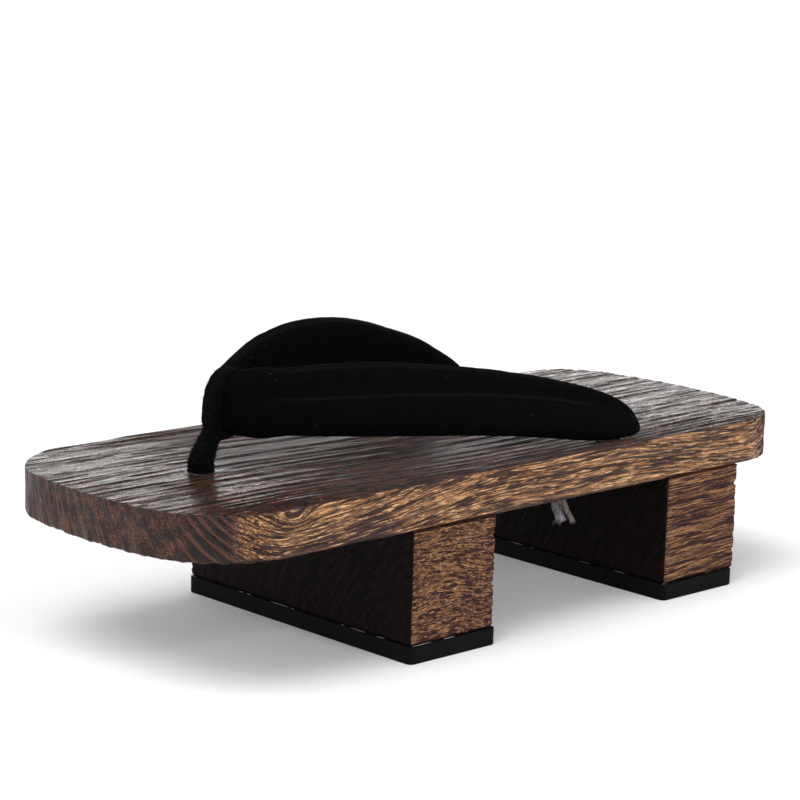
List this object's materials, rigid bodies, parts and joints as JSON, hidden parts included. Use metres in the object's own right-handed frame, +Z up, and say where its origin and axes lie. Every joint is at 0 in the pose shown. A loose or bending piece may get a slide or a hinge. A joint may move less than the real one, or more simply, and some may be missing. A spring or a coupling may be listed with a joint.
{
  "type": "geta sandal",
  "caption": "Wooden platform sandal: a flat bowed-end board on cross teeth with rubber treads, held by padded velvet straps that meet in a toe thong.",
  "frame": {"origin": "on the ground, under the middle of the board", "axes": "+Z up, +Y towards the heel (the toe points to -Y), +X towards the shoe's left side"},
  "size_m": [0.1112, 0.28, 0.0992],
  "materials": {
    "wood_board": "brushed and scorched wood under a satin lacquer, grain along the shoe",
    "wood_teeth": "brushed and scorched wood, near black on the toe faces, satin",
    "rubber_tread": "matte black sheet rubber",
    "strap_velvet": "black velvet over padding, with lint",
    "thong_felt": "black felted cloth, fuzzy",
    "cord_cotton": "undyed cotton cord, frayed ends"
  },
  "bodies": {
    "root": {"board": "wood_board", "tooth_front": "wood_teeth", "tooth_rear": "wood_teeth", "tread_front": "rubber_tread", "tread_rear": "rubber_tread", "upper": "strap_velvet", "toe_thong": "thong_felt", "knot_toe": "thong_felt", "knot_left": "cord_cotton", "knot_right": "cord_cotton", "tail_left_wide": "cord_cotton", "tail_left_thin": "cord_cotton", "tail_right_wide": "cord_cotton", "tail_right_thin": "cord_cotton"}
  },
  "joints": []
}
